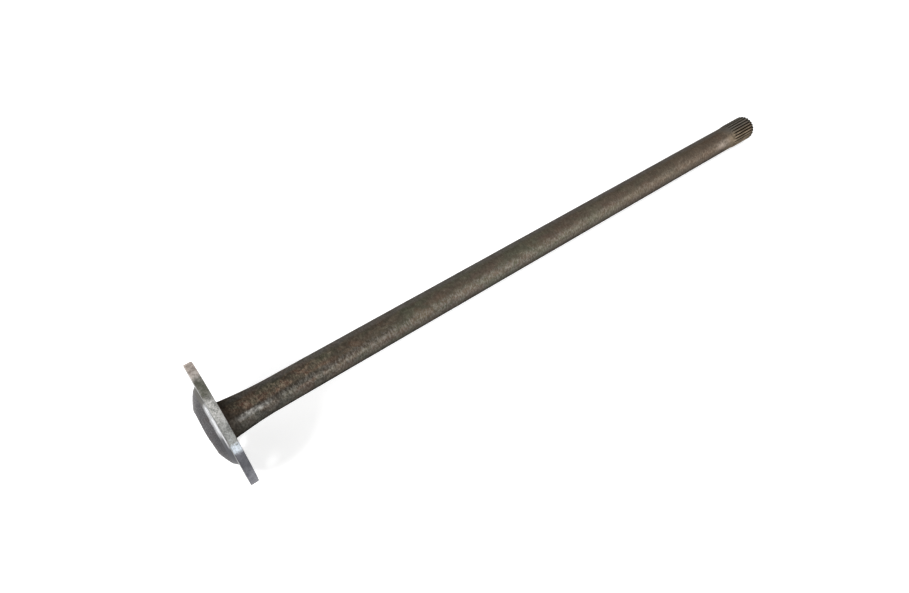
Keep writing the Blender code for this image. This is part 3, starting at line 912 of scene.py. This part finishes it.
    # Darker deeper in the tooth spaces.
    space_darkening = paint.level(paint.stored(SUNK), 0.25, 0.85)
    base = paint.blend(space_darkening, base, colour(0.012, 0.009, 0.006))
    end = paint.level(along, 0.0095 - SHAFT_REACH, 0.003 - SHAFT_REACH, 0.0, 0.85)
    base = paint.blend(end, base, colour(0.020, 0.016, 0.012))
    # Grain over all of it, coarsest near the flange
    coarse = paint.level(near_flange, 0.35, 1.0, 0.36, 0.85)
    base = paint.blend(coarse, base, paint.level(strokes, 0.38, 0.64, 0.70, 1.32), "MULTIPLY")
    base = paint.blend(coarse, base, paint.level(mottle, 0.36, 0.64, 0.78, 1.20), "MULTIPLY")
    rough = paint.maths("ADD", paint.level(strokes, 0.4, 0.66, 0.54, 0.38),
                        paint.level(mottle, 0.45, 0.7, 0.0, 0.08))
    normal = paint.bump(strokes, 0.00009)
    normal = paint.bump(speck, 0.00008, normal)
    normal = paint.bump(mottle, 0.0005, normal)
    return paint.finish(Base_Color=base, Metallic=paint.level(lower_edge_shade, 0.0, 1.0, 0.45, 0.0),
                        Roughness=rough, Normal=normal, Specular_IOR_Level=0.0,
                        Specular_Tint=colour(0.35, 0.33, 0.30))


def drilled_steel():
    """Bright drilled walls of the bolt holes, with spiral tool marks."""
    paint = Paint("drilled_steel")
    marks = paint.lines(paint.times(paint.axial(), 4200.0), 2.0)
    smear = paint.grain(paint.stretched((260, 260, 160)), 4.0)
    base = paint.blend(paint.level(marks, 0.3, 0.7), colour(0.40, 0.39, 0.37),
                       colour(0.22, 0.21, 0.195))
    base = paint.blend(paint.level(smear, 0.46, 0.62, 0.0, 0.6), base, colour(0.12, 0.095, 0.075))
    return paint.finish(Base_Color=base, Metallic=1.0, Roughness=0.38,
                        Normal=paint.bump(marks, 0.00005))


FINISHES = {"turned": turned_steel, "rim": rim_steel, "forged": forged_skin,
            "centre": greasy_centre, "scale": scaled_shaft, "bore": drilled_steel}


def sunk_share(radius, z):
    """How deep points lie in the tooth spaces: 0 on the lands and 1 on the roots."""
    land = np.interp(z, (SPLINE_START, RAMP_START), (SPLINE_RADIUS, SHAFT_RADIUS))
    past = np.clip(z - SPLINE_START, 0, CUTTER_RADIUS)
    rise = CUTTER_RADIUS - np.sqrt(CUTTER_RADIUS ** 2 - past ** 2)
    depth = np.clip(land - SPLINE_RADIUS + TOOTH_DEPTH - rise, LEAST_SPACE_DEPTH, None)
    fade = np.clip(depth / DARK_SPACE_DEPTH, 0, 1)
    return np.clip((land - radius) / depth, 0, 1) * fade * (z < RAMP_START)


def keep_places(mesh):
    """Keep each vertex's place in shaft space, and what the finishes need to know of it."""
    places = np.zeros(len(mesh.vertices) * 3, np.float32)
    mesh.vertices.foreach_get("co", places)
    mesh.attributes.new(PLACE, "FLOAT_VECTOR", "POINT").data.foreach_set("vector", places)
    x, y, z = places.reshape(-1, 3).T
    radius = np.hypot(x, y)
    over = z - FLANGE_THICKNESS - turned_height(radius)
    on_outer_face = z > FLANGE_THICKNESS - RIM_CHAMFER
    kept = {BARE: np.clip(1 + over / BARE_FADE, 0, 1) * on_outer_face,
            SUNK: sunk_share(radius, z),
            DISH: dish_outline(x - FORGING_SHIFT[0], y - FORGING_SHIFT[1])}
    for name, values in kept.items():
        attribute = mesh.attributes.new(name, "FLOAT", "POINT")
        attribute.data.foreach_set("value", values.astype(np.float32))


def drive_shaft():
    """The finished piece, laid in the world."""
    mesh = cut_mesh()
    keep_places(mesh)
    mesh.materials.clear()
    zones = list(FINISHES)
    for zone in zones:
        mesh.materials.append(FINISHES[zone]())
    for polygon in mesh.polygons:
        polygon.material_index = zones.index(zone_of(polygon.center))
    mesh.transform(shaft_frame())
    mesh.shade_smooth()
    mesh.set_sharp_from_angle(angle=SHARP_ANGLE)
    piece = new_object("drive_shaft_forging", mesh)
    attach(piece, "root")
    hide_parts("drive_shaft")


def background_rays(tree):
    """1 for the rays that should see the white background, straight or in a reflection."""
    path = tree.nodes.new("ShaderNodeLightPath")
    seen = tree.nodes.new("ShaderNodeMath")
    seen.operation = "MAXIMUM"
    tree.links.new(path.outputs["Is Camera Ray"], seen.inputs[0])
    tree.links.new(path.outputs["Is Glossy Ray"], seen.inputs[1])
    return seen.outputs[0]


def floor():
    """Pale studio floor that looks white and keeps the shadow."""
    bpy.ops.mesh.primitive_circle_add(vertices=FLOOR_SEGMENTS, radius=FLOOR_RADIUS,
                                      fill_type="NGON", location=(0.0, 0.0, -FLOOR_DROP))
    item = bpy.context.object
    item.name = "studio_floor"
    material = bpy.data.materials.new("studio_floor")
    material.use_nodes = True
    tree = material.node_tree
    shader = tree.nodes["Principled BSDF"]
    shader.inputs["Roughness"].default_value = 0.9
    shader.inputs["Specular IOR Level"].default_value = 0.0
    seen = background_rays(tree)
    mix = tree.nodes.new("ShaderNodeMix")
    mix.data_type = "RGBA"
    mix.inputs[6].default_value = colour(FLOOR_SHADE, FLOOR_SHADE, FLOOR_SHADE)
    mix.inputs[7].default_value = colour(FLOOR_SEEN_SHADE, FLOOR_SEEN_SHADE, FLOOR_SEEN_SHADE)
    tree.links.new(seen, mix.inputs[0])
    tree.links.new(mix.outputs[2], shader.inputs["Base Color"])
    glow = tree.nodes.new("ShaderNodeMath")
    glow.operation = "MULTIPLY"
    glow.inputs[1].default_value = FLOOR_GLOW
    tree.links.new(seen, glow.inputs[0])
    shader.inputs["Emission Color"].default_value = colour(1.0, 1.0, 1.0)
    tree.links.new(glow.outputs[0], shader.inputs["Emission Strength"])
    item.data.materials.append(material)


def soft_sun(name, direction, level, spread, tint):
    """Even soft light from far away, whose level is how bright it makes a white card."""
    data = bpy.data.lights.new(name, "SUN")
    data.energy = level * math.pi
    data.angle = spread
    data.color = tint
    item = new_object(name, data)
    item.location = direction
    item.rotation_euler = Vector(direction).to_track_quat("Z", "Y").to_euler()


def surround():
    """Even pale surround that looks white behind the object and in its reflections."""
    world = bpy.data.worlds.new("surround")
    world.use_nodes = True
    tree = world.node_tree
    background = tree.nodes["Background"]
    background.inputs["Color"].default_value = colour(1.0, 1.0, 1.0)
    strength = tree.nodes.new("ShaderNodeMapRange")
    strength.inputs["To Min"].default_value = SURROUND_LEVEL
    tree.links.new(background_rays(tree), strength.inputs["Value"])
    tree.links.new(strength.outputs["Result"], background.inputs["Strength"])
    bpy.context.scene.world = world


def camera():
    """Camera where the photograph's was."""
    data = bpy.data.cameras.new("camera")
    data.sensor_fit = "HORIZONTAL"
    data.sensor_width = SENSOR_WIDTH
    data.lens = CAMERA_LENS
    data.clip_start = CLIP_START
    item = new_object("camera", data)
    item.location = CAMERA_PLACE
    item.rotation_euler = CAMERA_TURN
    bpy.context.scene.camera = item


camera()
drive_shaft()
floor()
for light_name, light in LIGHTS.items():
    soft_sun(light_name, *light)
surround()
bpy.context.scene.view_settings.view_transform = "Standard"
